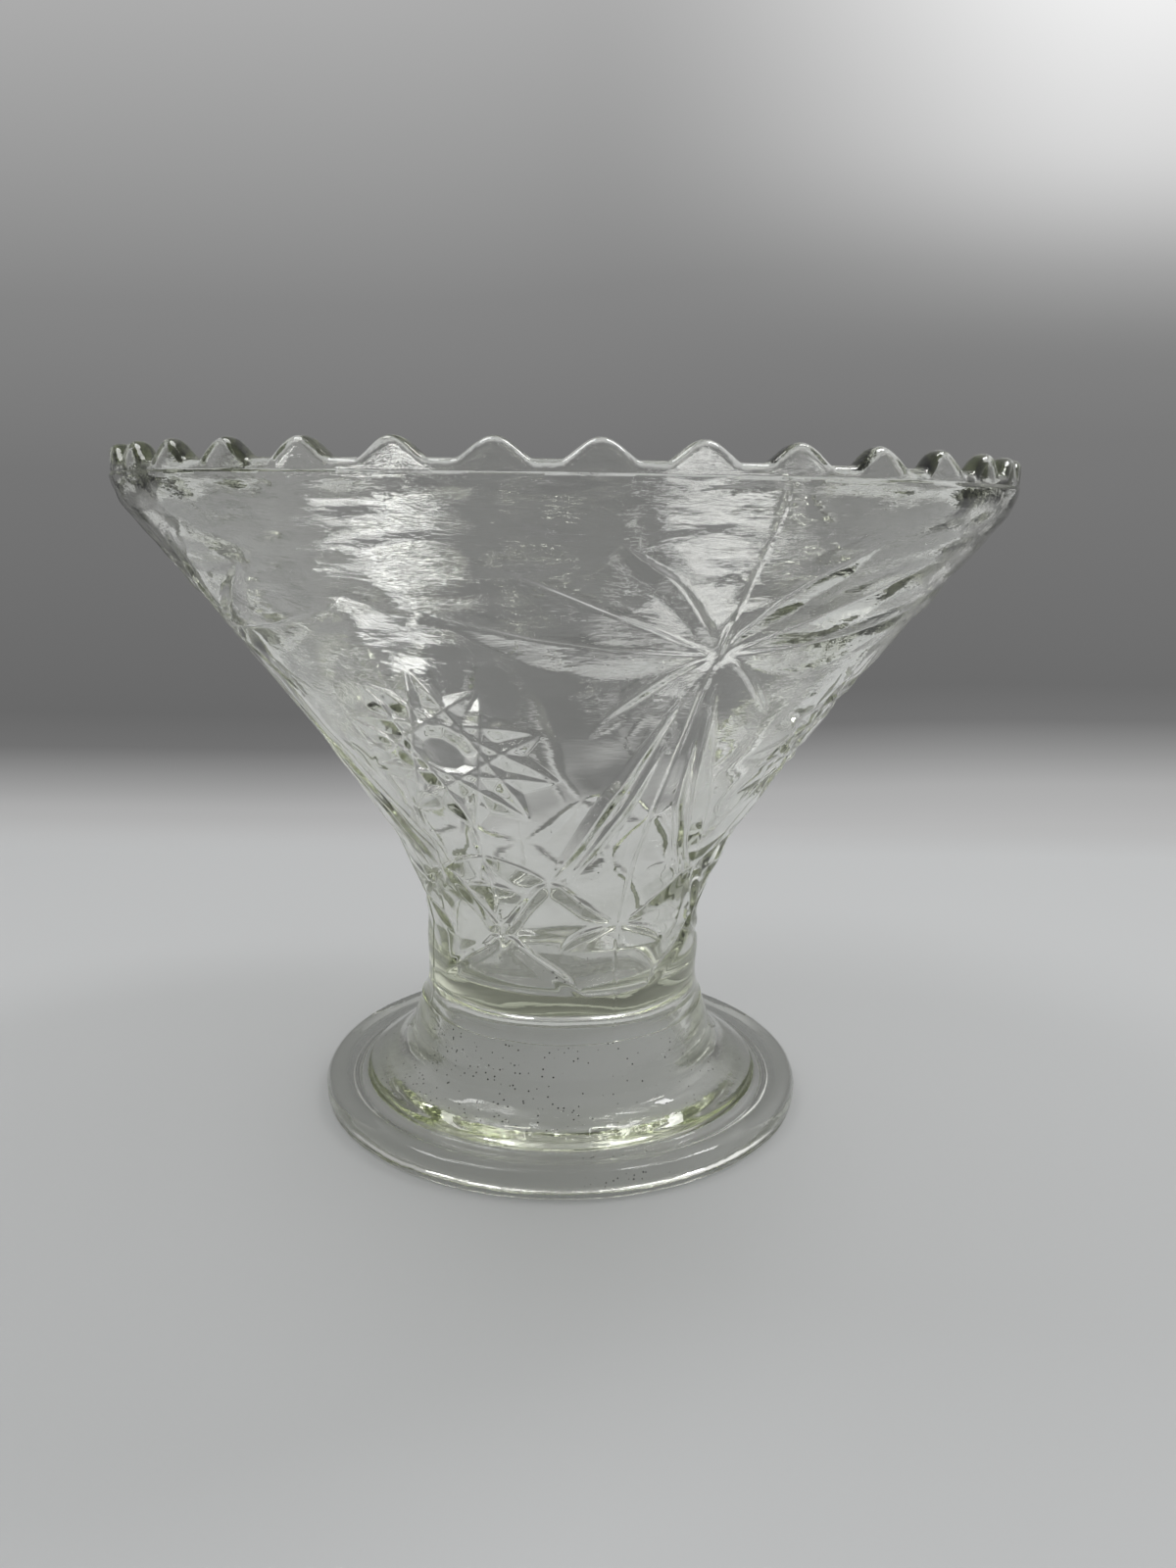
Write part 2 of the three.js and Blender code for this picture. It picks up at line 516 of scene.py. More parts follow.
@dataclass(frozen=True)
class Flank:
    """The outside of the bowl section, as a section line of radius and height.

    The wall's swelling is given as shares of its height and of its growth in radius.
    """

    lip_radius: float = 100.0
    band_height: float = 149.6
    waist_radius: float = 33.7
    waist_top: float = 46.4
    waist_bottom: float = 31.0
    seam: SeamRing = SeamRing()
    flare_corner: Point = (33.9, 25.7)
    measure_step: float = 0.5
    shape: tuple[Point, ...] = (
        (0, 0), (0.072, 0.026), (0.159, 0.081), (0.246, 0.152), (0.363, 0.275), (0.478, 0.403),
        (0.594, 0.535), (0.71, 0.677), (0.811, 0.802), (0.884, 0.894), (0.942, 0.966), (0.972, 0.991), (1, 1),
    )

    def section(self, step: float) -> Array:
        """The line from the seam up to the band.

        Args:
            step: The length that each piece comes close to.

        Returns:
            Points of radius and height, one to a row.
        """
        growth = self.lip_radius - self.waist_radius
        rise = self.band_height - self.waist_top
        wall = [(self.waist_radius + out * growth, self.waist_top + up * rise) for up, out in self.shape]
        waist = (self.waist_radius, self.waist_bottom)
        flare = bend((self.seam.radius, self.seam.height), self.flare_corner, waist, steps=10)
        return evenly(np.vstack([flare, [waist], curve_through(wall, steps=16)]), step)

    def radius(self, height: Array | float) -> Array:
        """Outside radius at a height."""
        line = self.section(self.measure_step)
        return np.interp(height, line[:, 1], line[:, 0])

    def slant(self, height: float) -> float:
        """Length along the section line up to a height."""
        line = self.section(self.measure_step)
        return float(np.interp(height, line[:, 1], length_along(line)))

    def height_at_slant(self, slant: float) -> float:
        """Height at a length along the section line."""
        line = self.section(self.measure_step)
        return float(np.interp(slant, length_along(line), line[:, 1]))


class CutField:
    """How deep the ornament is pressed at each point of the wall.

    Distances are taken in a flat map of the wall that keeps angles: across is the angle in radians, and up
    is the sum of slant over radius. A length in the map times the radius is a length on the glass.
    """

    def __init__(self, line: Array, columns: int, first_angle: float) -> None:
        """Lay the map out for a section line.

        Args:
            line: The section line's points, as radius and height.
            columns: How many points a whole ring has.
            first_angle: The angle of a ring's first point, in degrees.
        """
        steps = np.hypot(*np.diff(line, axis=0).T)
        middle = (line[1:, 0] + line[:-1, 0]) / 2
        self.radius, self.height = line[:, 0], line[:, 1]
        self.up = np.concatenate([[0], np.cumsum(steps / middle)])
        self.quarter = columns // QUARTERS
        turn = np.arange(self.quarter) - self.quarter // 2
        self.across = math.radians(first_angle) + 2 * np.pi * turn / columns
        self.depth = np.zeros((len(line), self.quarter))

    def press(self, cut: Cut) -> None:
        """Press one cut, and the copies of it that reach in from the quarters beside.

        Args:
            cut: The cut.
        """
        for shift in (-QUARTER_TURN, 0.0, QUARTER_TURN):
            turned = [(math.radians(angle + shift), height) for angle, height in cut.path]
            points = curve_through(turned, steps=5)
            path = np.stack([points[:, 0], np.interp(points[:, 1], self.height, self.up)], axis=1)
            size = np.interp(points[:, 1], self.height, self.radius)
            reach = max(cut.left, cut.right) / size.min()
            cols = np.flatnonzero(
                (self.across > path[:, 0].min() - reach) & (self.across < path[:, 0].max() + reach)
            )
            rows = np.flatnonzero((self.up > path[:, 1].min() - reach) & (self.up < path[:, 1].max() + reach))
            if len(cols) and len(rows):
                patch = np.ix_(rows, cols)
                self.depth[patch] = np.maximum(self.depth[patch], self.groove(cut, path, size, rows, cols))

    def groove(self, cut: Cut, path: Array, size: Array, rows: Array, cols: Array) -> Array:
        """Depth of one cut over a patch of the map.

        Args:
            cut: The cut.
            path: Its spine in the map.
            size: The wall's radius at each point of the spine.
            rows: The patch's rows.
            cols: The patch's columns.

        Returns:
            Depths in millimetres, below zero outside the cut.
        """
        here = np.stack(np.meshgrid(self.across[cols], self.up[rows]), axis=-1)
        nearest = np.full(here.shape[:2], np.inf)
        along = np.zeros(here.shape[:2])
        side = np.zeros(here.shape[:2])
        travelled = 0.0
        for start, stop, radius in zip(path, path[1:], (size[1:] + size[:-1]) / 2, strict=False):
            run = stop - start
            offset = here - start
            share = np.clip((offset @ run) / (run @ run), 0, 1)
            away = offset - share[..., None] * run
            distance = np.hypot(away[..., 0], away[..., 1])
            length = float(np.hypot(*run)) * radius
            closer = distance < nearest
            nearest = np.where(closer, distance, nearest)
            along = np.where(closer, travelled + share * length, along)
            turn = run[0] * offset[..., 1] - run[1] * offset[..., 0]
            side = np.where(closer, turn, side)
            travelled += length
        on_glass = nearest * self.radius[rows][:, None]
        slope = np.where(side > 0, cut.depth / cut.left, cut.depth / cut.right)
        return cut.share(along, travelled) * cut.depth - slope * on_glass

    def polish(self, passes: int) -> None:
        """Round every edge and spine a little, as the fire polish does.

        Args:
            passes: How many times each depth is averaged with its neighbours.
        """
        for _ in range(passes):
            deep = self.depth
            deep = (np.roll(deep, 1, axis=1) + 2 * deep + np.roll(deep, -1, axis=1)) / 4
            inner = (deep[:-2] + 2 * deep[1:-1] + deep[2:]) / 4
            self.depth = np.vstack([deep[:1], inner, deep[-1:]])

    def whole_ring(self) -> Array:
        """The depths all the way round, with a ring's first point in the first column."""
        ring = np.tile(np.maximum(self.depth, 0), (1, QUARTERS))
        return np.roll(ring, -(self.quarter // 2), axis=1)


@dataclass(frozen=True)
class Lip:
    """The scalloped lip over the band line."""

    valley_rise: float = 2.4
    scallop_rise: float = 3.4
    scallops: int = 37
    crest_angle: float = 2.6
    valley_cut: float = 0.2
    thickness: float = 4.6
    rounding: float = 1.7
    rounding_rings: int = 6
    band_step: float = 0.25
    band_lines: Pair = (0.3, 0.6)

    def top(self, angle: Array, band: float) -> Array:
        """Height of the lip's top: wide round crests with flat valleys between them.

        Args:
            angle: Angles round the lip, in radians.
            band: Height of the band line under the lip.

        Returns:
            A height for each angle.
        """
        wave = 0.5 + 0.5 * np.cos(self.scallops * (angle - math.radians(self.crest_angle)))
        crest = np.maximum(wave - self.valley_cut, 0) / (1 - self.valley_cut)
        return band + self.valley_rise + self.scallop_rise * crest


class GlassSection:
    """What the two sections of glass share: each is one piece that stands for one node of the frame."""

    node: str

    def dress(self, piece: bpy.types.Object, material: bpy.types.Material) -> None:
        """Put the section's piece in its node's place.

        Args:
            piece: The section's visual piece.
            material: Its finish.
        """
        piece.data.materials.append(material)
        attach(piece, BODY)
        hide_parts(self.node)
        log.info("%s: %d points, in place of %s", piece.name, len(piece.data.vertices), self.node)


@dataclass(frozen=True)
class BowlSection(GlassSection):
    """The upper section of glass: lip, wall, waist, floor and web, down to the seam ring.

    The inside is given as points of height and radius.
    """

    node: str = "bowl"
    flank: Flank = Flank()
    lip: Lip = Lip()
    ornament: Ornament = Ornament()
    inside: tuple[Point, ...] = (
        (50, 28.6), (56, 30.3), (62.8, 33.7), (71.8, 38.6), (83.8, 46.5), (95.7, 54.8), (107.7, 63.4),
        (119.6, 72.4), (130, 80.3), (137, 85.7), (142, 89.7), (146, 92.8), (149.6, 95.2),
    )
    waist_wall: float = 5.6
    floor_height: float = 32.4
    floor_radius: float = 20.0
    floor_middle: float = 4.0
    floor_rings: int = 6
    web: float = 3.4
    web_corner: float = 4.2
    web_rings: Pair = (0.2, 0.5)
    columns: int = 1200
    inside_columns: int = 400
    step: float = 0.45
    inside_step: float = 1.0
    polish: int = 1
    fin_height: float = 0.14
    fin_width: float = 0.35
    grime_top: float = 62.0
    grime_fade: float = 20.0
    grime_depth: float = 0.8
    seam_inset: float = 0.4
    swells: tuple[Swell, ...] = (
        Swell(height=0.19, length=12, seed=4, level_stretch=1.8),
        Swell(height=0.155, length=5, seed=7, level_stretch=4.5, fade_in=(106, 126)),
    )

    def pressed(self, skin: RingSkin) -> None:
        """Add the outside of the wall, with the ornament pressed into it.

        Args:
            skin: The skin that the rings are added to.
        """
        line = self.flank.section(self.step)
        field = CutField(line, self.columns, self.flank.seam.angle)
        for cut in self.ornament.cuts(self.flank):
            field.press(cut)
        field.polish(self.polish)
        depth = field.whole_ring()
        turn = (skin.angles(self.columns) - skin.first_angle + np.pi / 4) % (np.pi / 2) - np.pi / 4
        across = turn[None, :] * line[:, :1]
        depth = depth - self.fin_height * np.exp(-((across / self.fin_width) ** 2))
        normal = outward(line)
        radius = line[:, :1] - normal[:, :1] * depth
        height = line[:, 1:] - normal[:, 1:] * depth
        low = np.clip((self.grime_top - line[:, 1:]) / self.grime_fade, 0, 1)
        skin.add(self.columns, radius, height, grime=low * np.clip(depth / self.grime_depth, 0, 1))

    def scallops(self, skin: RingSkin) -> None:
        """Add the lip: up the outside, over the rounded top and down to the band on the inside.

        Args:
            skin: The skin that the rings are added to.
        """
        lip, band = self.lip, self.flank.band_height
        top = lip.top(skin.angles(self.columns), band)[None, :]
        outer = self.flank.lip_radius - lip.band_step
        inner = self.flank.lip_radius - lip.thickness
        skin.line(self.columns, np.array([[outer, band + rise] for rise in lip.band_lines]))
        turns = np.linspace(0, math.pi / 2, lip.rounding_rings)
        edge = [((1 - math.cos(turn)) * lip.rounding, (1 - math.sin(turn)) * lip.rounding) for turn in turns]
        for across, down in edge:
            skin.add(self.columns, np.array([[outer - across]]), top - down)
        for across, down in reversed(edge):
            skin.add(self.columns, np.array([[inner + across]]), top - down)

    def inside_line(self) -> Array:
        """Section line of the inside.

        Returns:
            Points of radius and height, from the band down to the floor.
        """
        knots = [(radius, height) for height, radius in self.inside]
        wall = evenly(curve_through(knots, steps=12), self.inside_step)[::-1]
        edge, floor = self.flank.waist_radius - self.waist_wall, self.floor_height
        corner = edge - self.floor_radius
        turn = bend((edge, floor + corner), (edge, floor), (self.floor_radius, floor), steps=10)
        radii = np.linspace(self.floor_radius, self.floor_middle, self.floor_rings)
        return np.vstack([wall, turn, [(radius, floor) for radius in radii]])

    def build(self) -> bpy.types.Object:
        """Make the section's glass body.

        Returns:
            The body, as an object.
        """
        ring = self.flank.seam
        skin = RingSkin(ring.angle)
        hollow = ring.radius - ring.wall
        roof = self.floor_height - self.web
        seam = ring.height + ring.gap / 2
        corner_end = (hollow, roof - self.web_corner)
        skin.pole(roof)
        skin.line(self.inside_columns, np.vstack([
            [(hollow * share, roof) for share in self.web_rings],
            bend((hollow - self.web_corner, roof), (hollow, roof), corner_end, steps=6),
            [corner_end, (hollow, seam)],
        ]))
        skin.mark_seam()
        skin.line(self.inside_columns, np.array([[ring.radius - self.seam_inset, seam]]))
        self.pressed(skin)
        self.scallops(skin)
        skin.line(self.inside_columns, self.inside_line())
        skin.pole(self.floor_height)
        skin.ripple(*self.swells)
        return skin.build("bowl_glass")


@dataclass(frozen=True)
class FootSection(GlassSection):
    """The lower section of glass: stem skirt, dome and flange, up to the seam ring."""

    node: str = "pedestal_foot"
    ring: SeamRing = SeamRing()
    foot_radius: float = 59.6
    flange_height: float = 6.9
    edge_height: float = 3.1
    contact_inner: float = 54.0
    contact_outer: float = 58.4
    rim: Point = (55.2, 6.3)
    channel: Point = (49.8, 3.9)
    dome: Point = (48.6, 7.6)
    dome_rounding: float = 0.5
    shoulder: Point = (44.4, 9.9)
    sweep: Point = (39.6, 11.4)
    skirt: Point = (37.6, 17.0)
    skirt_swell: float = 0.3
    hollow_widening: float = 2.6
    hollow_turn: float = 14.6
    dome_wall: float = 5.7
    hollow_mouth: float = 52.4
    mouth_roof: float = 2.8
    mouth_height: float = 1.2
    speck_angle: float = 32.0
    speck_spread: float = 32.0
    speck_row: Pair = (5.0, 24.0)
    speck_row_height: float = 4.4
    speck_row_half: float = 0.9
    speck_everywhere: float = 0.22
    speck_gain: float = 0.70
    swell: Swell = Swell(height=0.05, length=13, seed=4)
    columns: int = 400

    def section(self) -> tuple[Array, Array]:
        """The section lines of the foot.

        Returns:
            The outside line down from the seam, and the hollow's line back up to it.
        """
        hollow = self.ring.radius - self.ring.wall
        seam = self.ring.height - self.ring.gap / 2
        swell = ((self.skirt[0] + self.ring.radius) / 2 + self.skirt_swell, (self.skirt[1] + seam) / 2)
        above = (self.dome[0] - 2 * self.dome_rounding, self.dome[1] + self.dome_rounding)
        below = (self.dome[0] + self.dome_rounding / 3, self.dome[1] - self.dome_rounding)
        edge, contact = (self.foot_radius, self.edge_height), (self.contact_outer, 0)
        outside = np.vstack([
            bend((self.ring.radius, seam), swell, self.skirt, steps=12),
            bend(self.skirt, self.sweep, self.shoulder, steps=18),
            [self.shoulder],
            bend(above, self.dome, below, steps=6),
            bend(below, self.channel, self.rim, steps=18),
            bend(self.rim, (self.foot_radius, self.flange_height), edge, steps=14),
            bend(edge, (self.foot_radius, 0), contact, steps=8),
            [contact, (self.contact_inner, 0)],
        ])
        low = hollow + self.hollow_widening
        roof = self.shoulder[1] - self.dome_wall
        under = (self.shoulder[0], roof)
        mouth = self.hollow_mouth
        inside = np.vstack([
            bend((mouth, self.mouth_height), (mouth, self.mouth_roof), under, steps=12),
            bend(under, (low, roof), (low, self.hollow_turn), steps=14),
            [(low, self.hollow_turn), (hollow, seam)],
        ])
        return outside, inside

    def grime(self, skin: RingSkin, outside: Array) -> Array:
        """How many specks lie on the dome, mostly left of its front, and in a row on the flange's edge.

        Args:
            skin: The skin, for the angles of its points.
            outside: The outside line's points.

        Returns:
            A number from 0 to 1 for each point of each ring.
        """
        angle = np.degrees((skin.angles(self.columns) + np.pi) % (2 * np.pi) - np.pi)[None, :]
        radius, height = outside[:, :1], outside[:, 1:]
        on_dome = (radius < self.dome[0]) & (height > self.dome[1])
        left = np.exp(-(((angle + self.speck_angle) / self.speck_spread) ** 2))
        row_start, row_end = self.speck_row
        near_row = np.abs(height - self.speck_row_height) < self.speck_row_half
        in_row = near_row & (angle > row_start) & (angle < row_end)
        return np.where(in_row, 1.0, on_dome * (self.speck_everywhere + self.speck_gain * left))

    def build(self) -> bpy.types.Object:
        """Make the section's glass body.

        Returns:
            The body, as an object.
        """
        skin = RingSkin(self.ring.angle)
        outside, inside = self.section()
        outside = outside[::-1]
        skin.add(self.columns, outside[:, :1], outside[:, 1:], grime=self.grime(skin, outside))
        skin.mark_seam()
        skin.line(self.columns, inside[::-1])
        skin.close()
        skin.ripple(self.swell)
        return skin.build("foot_glass")


class Value:
    """A number socket that Python's arithmetic works on: each operation adds a Math node."""

    def __init__(self, graph: "Graph", socket: bpy.types.NodeSocket) -> None:
        """Wrap an output socket of a graph."""
        self.graph = graph
        self.socket = socket

    def _with(self, operation: str, other: "Value | float") -> "Value":
        """The result of one Math node on this value and another."""
        return self.graph.math(operation, self, other)

    def __add__(self, other: "Value | float") -> "Value":
        """Sum."""
        return self._with("ADD", other)

    __radd__ = __add__

    def __sub__(self, other: "Value | float") -> "Value":
        """Difference."""
        return self._with("SUBTRACT", other)

    def __rsub__(self, other: "Value | float") -> "Value":
        """Difference from a number."""
        return self.graph.math("SUBTRACT", other, self)

    def __mul__(self, other: "Value | float") -> "Value":
        """Product."""
        return self._with("MULTIPLY", other)

    __rmul__ = __mul__

    def __truediv__(self, other: "Value | float") -> "Value":
        """Quotient."""
        return self._with("DIVIDE", other)

    def __rtruediv__(self, other: "Value | float") -> "Value":
        """Quotient of a number."""
        return self.graph.math("DIVIDE", other, self)

    def at_least(self, other: "Value | float") -> "Value":
        """The larger of two values."""
        return self._with("MAXIMUM", other)

    def ramp(self, low: float, high: float) -> "Value":
        """A smooth step.

        Args:
            low: Where the result is 0.
            high: Where the result is 1.

        Returns:
            The stepped value.
        """
        node = self.graph.node(
            "ShaderNodeMapRange",
            {"interpolation_type": "SMOOTHSTEP"},
            {"Value": self, "From Min": low, "From Max": high},
        )
        return Value(self.graph, node.outputs["Result"])


class Graph:
    """The node tree of one material or of the world."""

    def __init__(self, tree: bpy.types.NodeTree) -> None:
        """Take over a tree and empty it."""
        self.tree = tree
        tree.nodes.clear()

    def node(self, kind: str, settings: dict[str, Any] | None = None,
             sockets: dict[str | int, Any] | None = None) -> bpy.types.Node:
        """Add a node.

        Args:
            kind: The node's type.
            settings: Its settings, such as a Math node's operation. Stops are a ramp's places and greys.
            sockets: Its input sockets by name or number, each a value, a Value or an output socket to link.

        Returns:
            The node.
        """
        made = self.tree.nodes.new(kind)
        for name, value in (settings or {}).items():
            if name == "stops":
                self.set_stops(made.color_ramp, value)
            else:
                setattr(made, name, value)
        for name, value in (sockets or {}).items():
            source = value.socket if isinstance(value, Value) else value
            if isinstance(source, bpy.types.NodeSocket):
                self.tree.links.new(source, made.inputs[name])
            else:
                made.inputs[name].default_value = source
        return made

    @staticmethod
    def set_stops(ramp: bpy.types.ColorRamp, stops: Sequence[tuple[float, float]]) -> None:
        """Give a ramp grey stops.

        Args:
            ramp: The ramp.
            stops: A place and a brightness for each stop.
        """
        while len(ramp.elements) < len(stops):
            ramp.elements.new(0.5)
        for element, (place, grey) in zip(ramp.elements, stops, strict=True):
            element.position = place
            element.color = (grey, grey, grey, 1)

    def math(self, operation: str, *values: "Value | float") -> Value:
        """A Math node's result on values."""
        node = self.node("ShaderNodeMath", {"operation": operation}, dict(enumerate(values)))
        return Value(self, node.outputs[0])

    def value(self, kind: str, output: str | int, settings: dict[str, Any] | None = None,
              sockets: dict[str | int, Any] | None = None) -> Value:
        """One output of a new node, as a value."""
        return Value(self, self.node(kind, settings, sockets).outputs[output])

    def mark(self, name: str) -> Value:
        """A number that the mesh carries."""
        return self.value("ShaderNodeAttribute", "Fac", {"attribute_name": name})

    def mix(self, factor: "Value | float", first: Any, second: Any) -> bpy.types.NodeSocket:
        """A colour between two colours, which a Mix node takes as inputs 6 and 7 and gives as output 2."""
        node = self.node("ShaderNodeMix", {"data_type": "RGBA"}, {0: factor, 6: first, 7: second})
        return node.outputs[2]

    def shaders(self, factor: "Value | float", first: bpy.types.Node,
                second: bpy.types.Node) -> bpy.types.Node:
        """A Mix Shader of two shaders."""
        return self.node("ShaderNodeMixShader", None, {0: factor, 1: first.outputs[0], 2: second.outputs[0]})

    def output(self, kind: str, surface: bpy.types.Node, volume: bpy.types.Node | None = None) -> None:
        """Finish the graph with its output node.

        Args:
            kind: The output node's type.
            surface: The shader of the surface.
            volume: The shader of what is inside it, if it has one.
        """
        sockets: dict[str | int, Any] = {"Surface": surface.outputs[0]}
        if volume is not None:
            sockets["Volume"] = volume.outputs[0]
        self.node(kind, None, sockets)


@dataclass(frozen=True)
class PressedGlass:
    """Fire-polished clear glass with a faint olive colour that shows where it is thick."""

    name: str = "clear_pressed_glass"
    ior: float = 1.5
    colour: Colour = (1.0, 1.0, 1.0, 1.0)
    inside_colour: Colour = (0.80, 0.824, 0.70, 1.0)
    density: float = 30.0
    speck_colour: Colour = (0.012, 0.011, 0.009, 1.0)
    speck_size: float = 1.15 * MM
    speck_edge: Pair = (0.15, 0.23)
    speck_share: float = 0.9
    speck_rise: Pair = (0.0, 0.02)
    cluster_scale: float = 110.0
    cluster_edge: Pair = (0.34, 0.47)
    streak: Place = (0.004, 0.004, 0.0009)
    streak_everywhere: float = 0.12
    streak_high: float = 1.3
    streak_low: float = 0.6
    high_edge: Pair = (0.092, 0.125)
    low_edge: Pair = (0.018, 0.030)
    grain_scale: float = 90.0
    bump_distance: float = 0.00005
    roughness: float = 0.008
    uneven_roughness: float = 0.02
    shade: float = 0.75

    def specks(self, graph: Graph, place: bpy.types.NodeSocket) -> Value:
        """Small round specks in clusters, where the mesh is marked for them.

        Args:
            graph: The material's graph.
            place: The point's position.

        Returns:
            1 in a speck and 0 outside.
        """
        cells = graph.node(
            "ShaderNodeTexVoronoi", {"feature": "F1"}, {"Vector": place, "Scale": 1 / self.speck_size}
        )
        chance = graph.value("ShaderNodeSeparateColor", "Red", None, {"Color": cells.outputs["Color"]})
        close = 1 - Value(graph, cells.outputs["Distance"]).ramp(*self.speck_edge)
        chosen = graph.mark(GRIME_MARK) * self.speck_share - chance
        clusters = graph.value(
            "ShaderNodeTexNoise", "Fac", None, {"Vector": place, "Scale": self.cluster_scale, "Detail": 1.0}
        )
        return close * (chosen * clusters.ramp(*self.cluster_edge)).ramp(*self.speck_rise)

    def make(self) -> bpy.types.Material:
        """Make the material.

        Returns:
            The material.
        """
        material = bpy.data.materials.new(self.name)
        material.use_nodes = True
        graph = Graph(material.node_tree)
        place = graph.node("ShaderNodeNewGeometry").outputs["Position"]

        grain = graph.value(
            "ShaderNodeTexNoise", "Fac", None, {"Vector": place, "Scale": self.grain_scale, "Detail": 3.0}
        )
        level = graph.node(
            "ShaderNodeMapping", {"vector_type": "TEXTURE"}, {"Vector": place, "Scale": self.streak}
        )
        streaks = graph.value(
            "ShaderNodeTexNoise", "Fac", None, {"Vector": level.outputs[0], "Scale": 1.0, "Detail": 2.0}
        )
        level_at = graph.value("ShaderNodeSeparateXYZ", "Z", None, {"Vector": place})
        high = level_at.ramp(*self.high_edge)
        low = 1 - level_at.ramp(*self.low_edge)
        strength = self.streak_everywhere + high * self.streak_high + low * self.streak_low
        height = grain + streaks * strength
        bump = graph.node(
            "ShaderNodeBump", None, {"Strength": 1.0, "Distance": self.bump_distance, "Height": height}
        )
        glass = graph.node(
            "ShaderNodeBsdfPrincipled",
            None,
            {
                "Base Color": graph.mix(self.specks(graph, place), self.colour, self.speck_colour),
                "Roughness": self.roughness + grain * self.uneven_roughness,
                "IOR": self.ior,
                "Transmission Weight": 1.0,
                "Normal": bump.outputs[0],
            },
        )
        clear = graph.node("ShaderNodeBsdfTransparent")
        rays = graph.node("ShaderNodeLightPath")
        shadow, diffuse = (Value(graph, rays.outputs[name]) for name in ("Is Shadow Ray", "Is Diffuse Ray"))
        through = (shadow.at_least(diffuse) * self.shade).at_least(graph.mark(SEAM_MARK))
        inside = graph.node(
            "ShaderNodeVolumeAbsorption", None, {"Color": self.inside_colour, "Density": self.density}
        )
        graph.output("ShaderNodeOutputMaterial", graph.shaders(through, glass, clear), inside)
        return material


@dataclass(frozen=True)
class Sweep:
    """The pale floor and the grey backdrop that it curves up into, as one sheet.

    Shades has places on the way up the backdrop, each with its grey.
    """

    half_width: float = 2.2
    front: float = -2.2
    floor_back: float = 0.22
    curve: float = 0.32
    top: float = 2.2
    floor_lines: Pair = (-1.0, -0.4)
    curve_lines: int = 33
    floor_colour: Colour = (0.57, 0.577, 0.578, 1.0)
    roughness: float = 0.75
    rise_mark: str = "rise"
    rise_scale: float = 0.8
    paint_edge: Pair = (-0.02, 0.05)
    shades: tuple[Point, ...] = (
        (0.0, 0.47), (0.06, 0.41), (0.10, 0.29), (0.14, 0.165), (0.18, 0.14), (0.28, 0.155),
        (0.42, 0.178), (0.56, 0.235), (0.66, 0.32), (0.80, 0.43),
    )
    slope_edge: Pair = (-0.15, 0.25)
    slope: float = 0.045
    glow_edge: Pair = (0.0, 0.36)
    high_glow_edge: Pair = (0.52, 0.70)
    high_glow: float = 1.15
    low_glow_edge: Pair = (0.14, 0.20)
    low_glow: float = 0.07

    def section(self) -> Array:
        """Section line of the sheet.

        Returns:
            Points of distance back and height, one to a row.
        """
        turns = np.linspace(0, math.pi / 2, self.curve_lines)
        back = self.floor_back + self.curve * np.sin(turns)
        arc = np.stack([back, self.curve * (1 - np.cos(turns))], axis=1)
        floor = [(place, 0) for place in (self.front, *self.floor_lines)]
        return np.vstack([floor, arc, [(self.floor_back + self.curve, self.top)]])

    def material(self) -> bpy.types.Material:
        """Matt paper, lit on the floor and with a painted shade on the backdrop, brighter at the top right.

        Returns:
            The material.
        """
        material = bpy.data.materials.new("sweep_paper")
        material.use_nodes = True
        graph = Graph(material.node_tree)
        rise = graph.mark(self.rise_mark) / self.rise_scale
        place = graph.node("ShaderNodeNewGeometry").outputs["Position"]
        right = graph.value("ShaderNodeSeparateXYZ", "X", None, {"Vector": place})
        shade = graph.value(
            "ShaderNodeValToRGB", "Color", {"stops": self.shades},
            {"Fac": rise - right.ramp(*self.slope_edge) * self.slope},
        )
        high_glow = rise.ramp(*self.high_glow_edge) * self.high_glow
        low_glow = rise.ramp(*self.low_glow_edge) * self.low_glow
        light = 1 + right.ramp(*self.glow_edge) * (high_glow + low_glow)
        painted = graph.node("ShaderNodeEmission", None, {"Color": shade * light})
        paper = graph.node(
            "ShaderNodeBsdfPrincipled", None, {"Base Color": self.floor_colour, "Roughness": self.roughness}
        )
        sheet = graph.shaders(rise.ramp(*self.paint_edge), paper, painted)
        graph.output("ShaderNodeOutputMaterial", sheet)
        return material

    def build(self) -> None:
        """Make the sheet."""
        line = self.section()
        run = length_along(line)
        start = run[np.argmin(np.abs(line[:, 0] - self.floor_back) + line[:, 1])]
        mesh = bpy.data.meshes.new("studio_sweep")
        places = [(x, back, up) for back, up in line for x in (-self.half_width, self.half_width)]
        faces = [(2 * i, 2 * i + 1, 2 * i + 3, 2 * i + 2) for i in range(len(line) - 1)]
        mesh.from_pydata(places, [], faces)
        mesh.attributes.new(self.rise_mark, "FLOAT", "POINT").data.foreach_set(
            "value", np.repeat(run - start, 2).astype(np.float32)
        )
        mesh.shade_smooth()
        mesh.materials.append(self.material())
        sheet = bpy.data.objects.new("studio_sweep", mesh)
        bpy.context.scene.collection.objects.link(sheet)


@dataclass(frozen=True)
class SoftBox:
    """A rectangular lamp that points at the bowl."""

    name: str
    place: Place
    size: Pair
    watts: float
    aim: Place = (0.0, 0.0, 0.08)

    def build(self) -> None:
        """Make the lamp."""
        light = bpy.data.lights.new(self.name, "AREA")
        light.shape = "RECTANGLE"
        light.size, light.size_y = self.size
        light.energy = self.watts
        lamp = bpy.data.objects.new(self.name, light)
        lamp.location = self.place
        away = Vector(self.place) - Vector(self.aim)
        lamp.rotation_euler = away.to_track_quat("Z", "Y").to_euler()
        bpy.context.scene.collection.objects.link(lamp)


